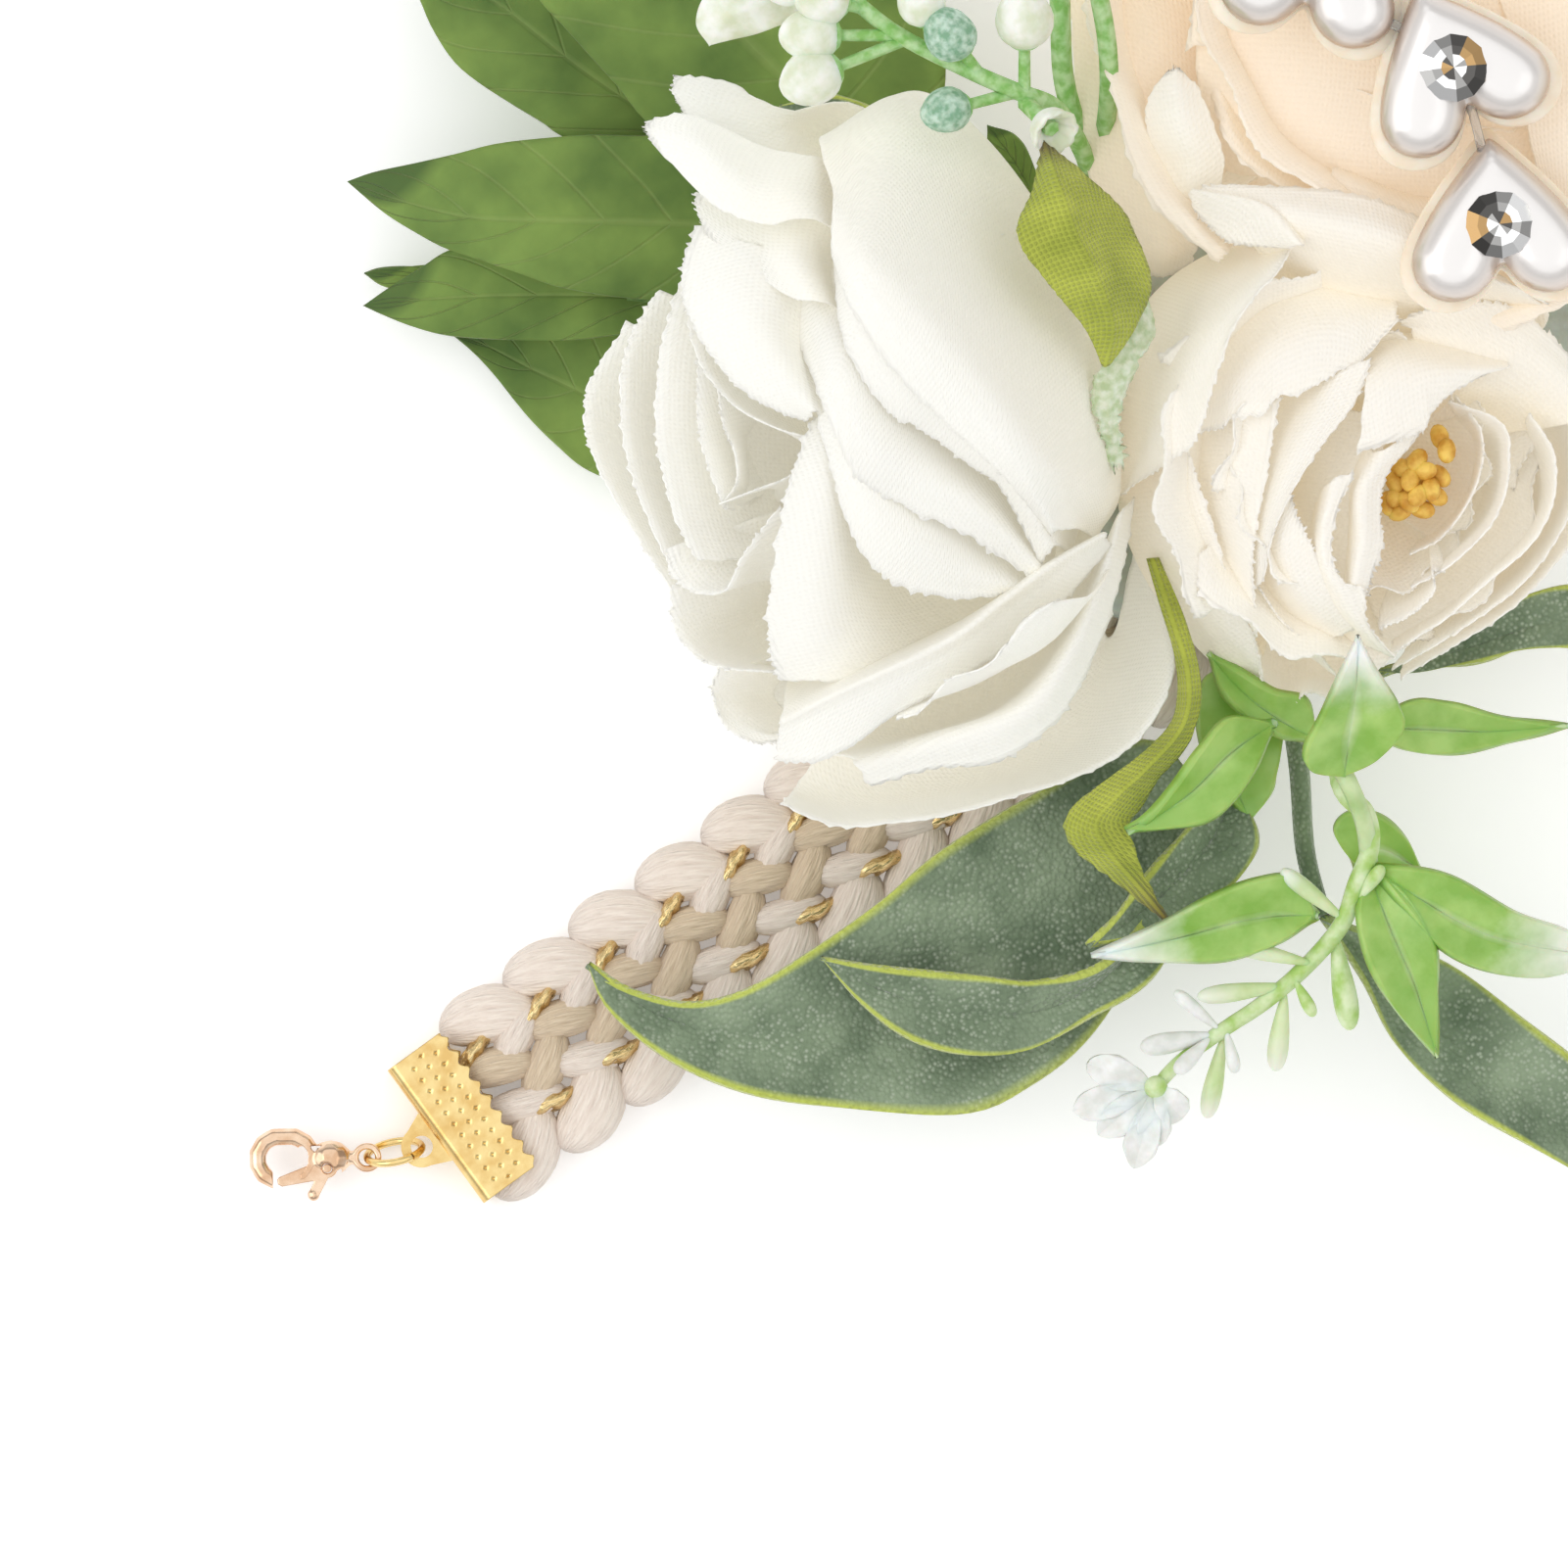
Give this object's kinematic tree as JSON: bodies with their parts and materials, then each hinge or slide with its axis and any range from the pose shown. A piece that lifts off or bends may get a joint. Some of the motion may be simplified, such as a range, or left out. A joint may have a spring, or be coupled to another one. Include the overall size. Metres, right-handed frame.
{
  "type": "wrist corsage",
  "caption": "Fabric rose corsage with leaves and heart pearls, glued on a felt pad over a braided wrist strap with a lobster clasp and an extender chain.",
  "frame": {"origin": "on the underside of the felt wrist pad, on the centre line of the strap, near the middle of the flowers", "axes": "+X along the strap towards the extender chain, +Y across the strap towards the fabric leaves, +Z away from the wrist"},
  "size_m": [0.2195, 0.1347, 0.048],
  "materials": {
    "felt": "pressed wool felt",
    "braid": "cotton yarn braid with gold lurex",
    "gold_plate": "pale gold plate, bright",
    "rose_gold": "rose gold plate on cast zinc, polished",
    "spring_steel": "drawn wire",
    "hot_glue": "clear hot melt, set milky",
    "green_plastic": "moulded, satin",
    "white_satin": "woven satin, starched",
    "cream_satin": "woven satin, starched",
    "champagne_satin": "woven satin, starched",
    "stamens": "thread stamens with pollen tips",
    "leaf_fabric": "printed woven leaf, stiffened",
    "flocked_leaf": "flocked, frosted",
    "moulded_leaf": "moulded, white tips",
    "moulded_flower": "moulded, satin",
    "berries": "moulded, pearly",
    "sepal_fabric": "printed woven sepal",
    "pearl": "pearl lacquer",
    "crystal": "faceted, foil backed"
  },
  "bodies": {
    "corsage": {"wrist_pad": "felt", "strap_middle": "braid", "hot_glue_bed": "hot_glue", "white_rose_calyx": "green_plastic", "white_rose_outer_petals": "white_satin", "white_rose_middle_petals": "white_satin", "white_rose_inner_petals": "white_satin", "white_rose_bud": "white_satin", "cream_rose_calyx": "green_plastic", "cream_rose_outer_petals": "cream_satin", "cream_rose_middle_petals": "cream_satin", "cream_rose_inner_petals": "cream_satin", "cream_rose_stamens": "stamens", "champagne_rose_calyx": "green_plastic", "champagne_rose_outer_petals": "champagne_satin", "champagne_rose_middle_petals": "champagne_satin", "champagne_rose_inner_petals": "champagne_satin", "champagne_rose_bud": "champagne_satin", "second_white_rose_calyx": "green_plastic", "second_white_rose_outer_petals": "white_satin", "second_white_rose_middle_petals": "white_satin", "second_white_rose_inner_petals": "white_satin", "second_white_rose_bud": "white_satin", "fabric_leaf_1": "leaf_fabric", "fabric_leaf_2": "leaf_fabric", "fabric_leaf_3": "leaf_fabric", "fabric_leaf_4": "leaf_fabric", "fabric_leaf_5": "leaf_fabric", "frosted_leaf_spray_left": "flocked_leaf", "frosted_leaf_spray_right": "flocked_leaf", "glossy_leaf_sprig": "moulded_leaf", "mini_flower_spray": "moulded_flower", "berry_sprig": "berries", "rose_sepal_upper": "sepal_fabric", "rose_sepal_lower": "sepal_fabric", "pearl_strand": "pearl", "rhinestone_1": "crystal", "rhinestone_2": "crystal", "rhinestone_3": "crystal", "rhinestone_4": "crystal"},
    "clasp_wing_1": {"strap_clasp_side_1": "braid"},
    "clasp_wing_2": {"strap_clasp_side_2": "braid"},
    "clasp_wing_3": {"strap_clasp_side_3": "braid", "clasp_end_crimp": "gold_plate"},
    "clasp_ring": {"clasp_jump_ring": "gold_plate"},
    "clasp": {"clasp_body": "rose_gold", "clasp_trigger_pin": "rose_gold", "clasp_trigger_spring": "spring_steel"},
    "trigger": {"clasp_trigger": "rose_gold"},
    "chain_wing_1": {"strap_chain_side_1": "braid"},
    "chain_wing_2": {"strap_chain_side_2": "braid"},
    "chain_wing_3": {"strap_chain_side_3": "braid", "chain_end_crimp": "gold_plate"},
    "chain_ring": {"chain_jump_ring": "gold_plate"},
    "link_1": {"chain_link_1": "gold_plate"},
    "link_2": {"chain_link_2": "gold_plate"},
    "link_3": {"chain_link_3": "gold_plate"},
    "link_4": {"chain_link_4": "gold_plate"},
    "drop": {"chain_end_drop": "gold_plate"}
  },
  "joints": [
    {"name": "clasp_wing_1_bend", "type": "hinge", "parent": "corsage", "child": "clasp_wing_1", "pos_m": [-0.02845, 0, 0], "axis": [0, -1, 0], "range_deg": [0, 60]},
    {"name": "clasp_wing_2_bend", "type": "hinge", "parent": "clasp_wing_1", "child": "clasp_wing_2", "pos_m": [-0.0482, 0, 0], "axis": [0, -1, 0], "range_deg": [0, 60]},
    {"name": "clasp_wing_3_bend", "type": "hinge", "parent": "clasp_wing_2", "child": "clasp_wing_3", "pos_m": [-0.0681, 0, 0], "axis": [0, -1, 0], "range_deg": [0, 60]},
    {"name": "clasp_ring_swing", "type": "hinge", "parent": "clasp_wing_3", "child": "clasp_ring", "pos_m": [-0.08935, 0, 0.0026], "axis": [-0.4226, -0.9063, 0], "range_deg": [-35, 35]},
    {"name": "clasp_swing", "type": "hinge", "parent": "clasp_ring", "child": "clasp", "pos_m": [-0.09325, 0.00182, 0.0026], "axis": [0, 0, 1], "range_deg": [-45, 45]},
    {"name": "trigger_press", "type": "hinge", "parent": "clasp", "child": "trigger", "pos_m": [-0.0962, 0.00294, 0.0026], "axis": [0, 0, 1], "range_deg": [-22, 0], "stiffness_Nm_per_rad": 0.003, "springref_deg": 11.46, "deforming": ["clasp_trigger_spring"]},
    {"name": "chain_wing_1_bend", "type": "hinge", "parent": "corsage", "child": "chain_wing_1", "pos_m": [0.04445, 0, 0], "axis": [0, 1, 0], "range_deg": [0, 60]},
    {"name": "chain_wing_2_bend", "type": "hinge", "parent": "chain_wing_1", "child": "chain_wing_2", "pos_m": [0.06087, 0, 0], "axis": [0, 1, 0], "range_deg": [0, 60]},
    {"name": "chain_wing_3_bend", "type": "hinge", "parent": "chain_wing_2", "child": "chain_wing_3", "pos_m": [0.07743, 0, 0], "axis": [0, 1, 0], "range_deg": [0, 60]},
    {"name": "chain_ring_swing", "type": "hinge", "parent": "chain_wing_3", "child": "chain_ring", "pos_m": [0.09535, 0, 0.0026], "axis": [0, 1, 0], "range_deg": [-35, 35]},
    {"name": "link_1_swing", "type": "hinge", "parent": "chain_ring", "child": "link_1", "pos_m": [0.0987, 0, 0.0026], "axis": [0, 1, 0], "range_deg": [-40, 40]},
    {"name": "link_2_swing", "type": "hinge", "parent": "link_1", "child": "link_2", "pos_m": [0.1021, 0, 0.0026], "axis": [0, 0, 1], "range_deg": [-40, 40]},
    {"name": "link_3_swing", "type": "hinge", "parent": "link_2", "child": "link_3", "pos_m": [0.105, 0, 0.0026], "axis": [0, 1, 0], "range_deg": [-40, 40]},
    {"name": "link_4_swing", "type": "hinge", "parent": "link_3", "child": "link_4", "pos_m": [0.1079, 0, 0.0026], "axis": [0, 0, 1], "range_deg": [-40, 40]},
    {"name": "drop_swing", "type": "hinge", "parent": "link_4", "child": "drop", "pos_m": [0.1108, 0, 0.0026], "axis": [0, 1, 0], "range_deg": [-40, 40]}
  ]
}
